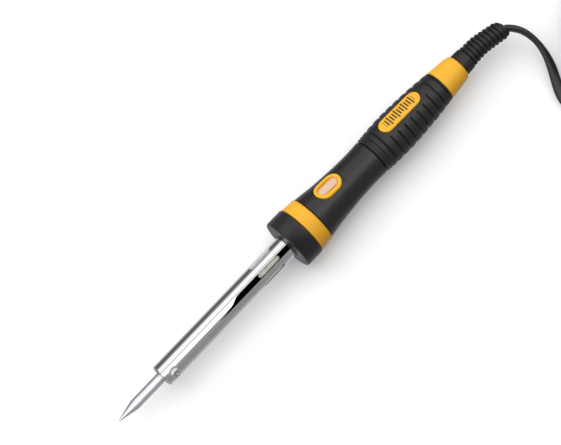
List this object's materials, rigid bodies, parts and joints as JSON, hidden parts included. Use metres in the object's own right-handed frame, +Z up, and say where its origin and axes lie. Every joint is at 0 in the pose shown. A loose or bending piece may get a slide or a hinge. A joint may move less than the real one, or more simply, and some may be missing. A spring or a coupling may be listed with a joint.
{
  "type": "soldering iron",
  "caption": "Hand soldering iron: pointed bit clamped in a slotted chrome barrel, waisted two-tone handle with pilot lamp, ribbed cord boot and mains lead wound up with its plug.",
  "frame": {"origin": "on the bench surface, under the middle of the iron without its free lead", "axes": "+X along the iron from its tip to its cord boot, +Z up from the bench, +Y to the left of someone looking from the tip's side along +X"},
  "size_m": [0.3477, 0.0972, 0.0278],
  "materials": {
    "bit_plating": "satin nickel and iron plating over copper",
    "barrel_chrome": "bright polished chrome",
    "steel": "zinc-plated steel",
    "heater_wire": "oxidised resistance wire",
    "mica": "laminated mica",
    "ceramic": "unglazed ceramic",
    "glass_sleeving": "woven glass-fibre sleeving",
    "black_plastic": "satin moulded black",
    "black_grip": "soft satin moulded grip",
    "black_rubber": "matt moulded rubber",
    "yellow_plastic": "satin moulded yellow",
    "lamp_lens": "milky translucent orange",
    "clear_glass": "clear glass",
    "cream_plastic": "moulded cream",
    "brass": "turned brass",
    "brown_pvc": "core insulation, brown",
    "blue_pvc": "core insulation, blue",
    "cord_pvc": "smooth black flexible PVC",
    "tie_fabric": "black hook-and-loop strap",
    "plug_plastic": "fine-textured black plastic",
    "pin_plating": "nickel-plated brass"
  },
  "bodies": {
    "iron": {"barrel": "barrel_chrome", "front_bush": "steel", "bit_sleeve": "steel", "mica_wrap": "mica", "heater_winding": "heater_wire", "mica_cover": "mica", "heater_end_cap": "ceramic", "heater_lead_1": "steel", "heater_lead_2": "steel", "lead_sleeve_1": "glass_sleeving", "lead_sleeve_2": "glass_sleeving", "barrel_liner": "steel", "barrel_flange": "steel", "heat_gasket": "mica", "flange_screw_1": "steel", "flange_screw_2": "steel", "flange_screw_3": "steel", "front_collar": "black_plastic", "front_band": "yellow_plastic", "handle_shell": "black_plastic", "grip_sleeve": "black_grip", "rating_plate": "yellow_plastic", "lamp_bezel": "yellow_plastic", "lamp_lens": "lamp_lens", "rear_ferrule": "yellow_plastic", "neon_lamp": "clear_glass", "lamp_resistor": "ceramic", "lamp_lead_1": "steel", "lamp_lead_2": "steel", "terminal_block": "cream_plastic", "terminal_screw_1": "brass", "terminal_screw_2": "brass", "terminal_screw_3": "brass", "terminal_screw_4": "brass", "supply_core_brown": "brown_pvc", "supply_core_blue": "blue_pvc", "cord_clamp_cheek_1": "steel", "cord_clamp_cheek_2": "steel", "cord_clamp_screw_1": "steel", "cord_clamp_screw_2": "steel", "cord_boot": "black_rubber", "cord_in_boot": "cord_pvc", "cord": "cord_pvc", "cord_coil": "cord_pvc", "coil_tie": "tie_fabric", "cord_tail": "cord_pvc", "plug_boot": "black_rubber", "plug_body": "plug_plastic", "plug_pin_1": "pin_plating", "plug_pin_2": "pin_plating"},
    "bit": {"soldering_bit": "bit_plating"},
    "washer": {"clamp_washer": "steel"},
    "screw": {"clamp_screw": "steel"}
  },
  "joints": [
    {"name": "bit_slide", "type": "slide", "parent": "iron", "child": "bit", "axis": [-1, 0, 0], "range_m": [0, 0.045]},
    {"name": "clamp_lift", "type": "slide", "parent": "iron", "child": "washer", "axis": [0, -0.6225, 0.7826], "range_m": [0, 0.0015]},
    {"name": "clamp_screw_turn", "type": "hinge", "parent": "washer", "child": "screw", "pos_m": [-0.09845, 0, 0.0139], "axis": [0, -0.6225, 0.7826], "range_deg": [0, 1080]}
  ],
  "couplings": [
    {"joint": "clamp_screw_turn", "follows": "clamp_lift", "rad_per_m": 12566}
  ]
}
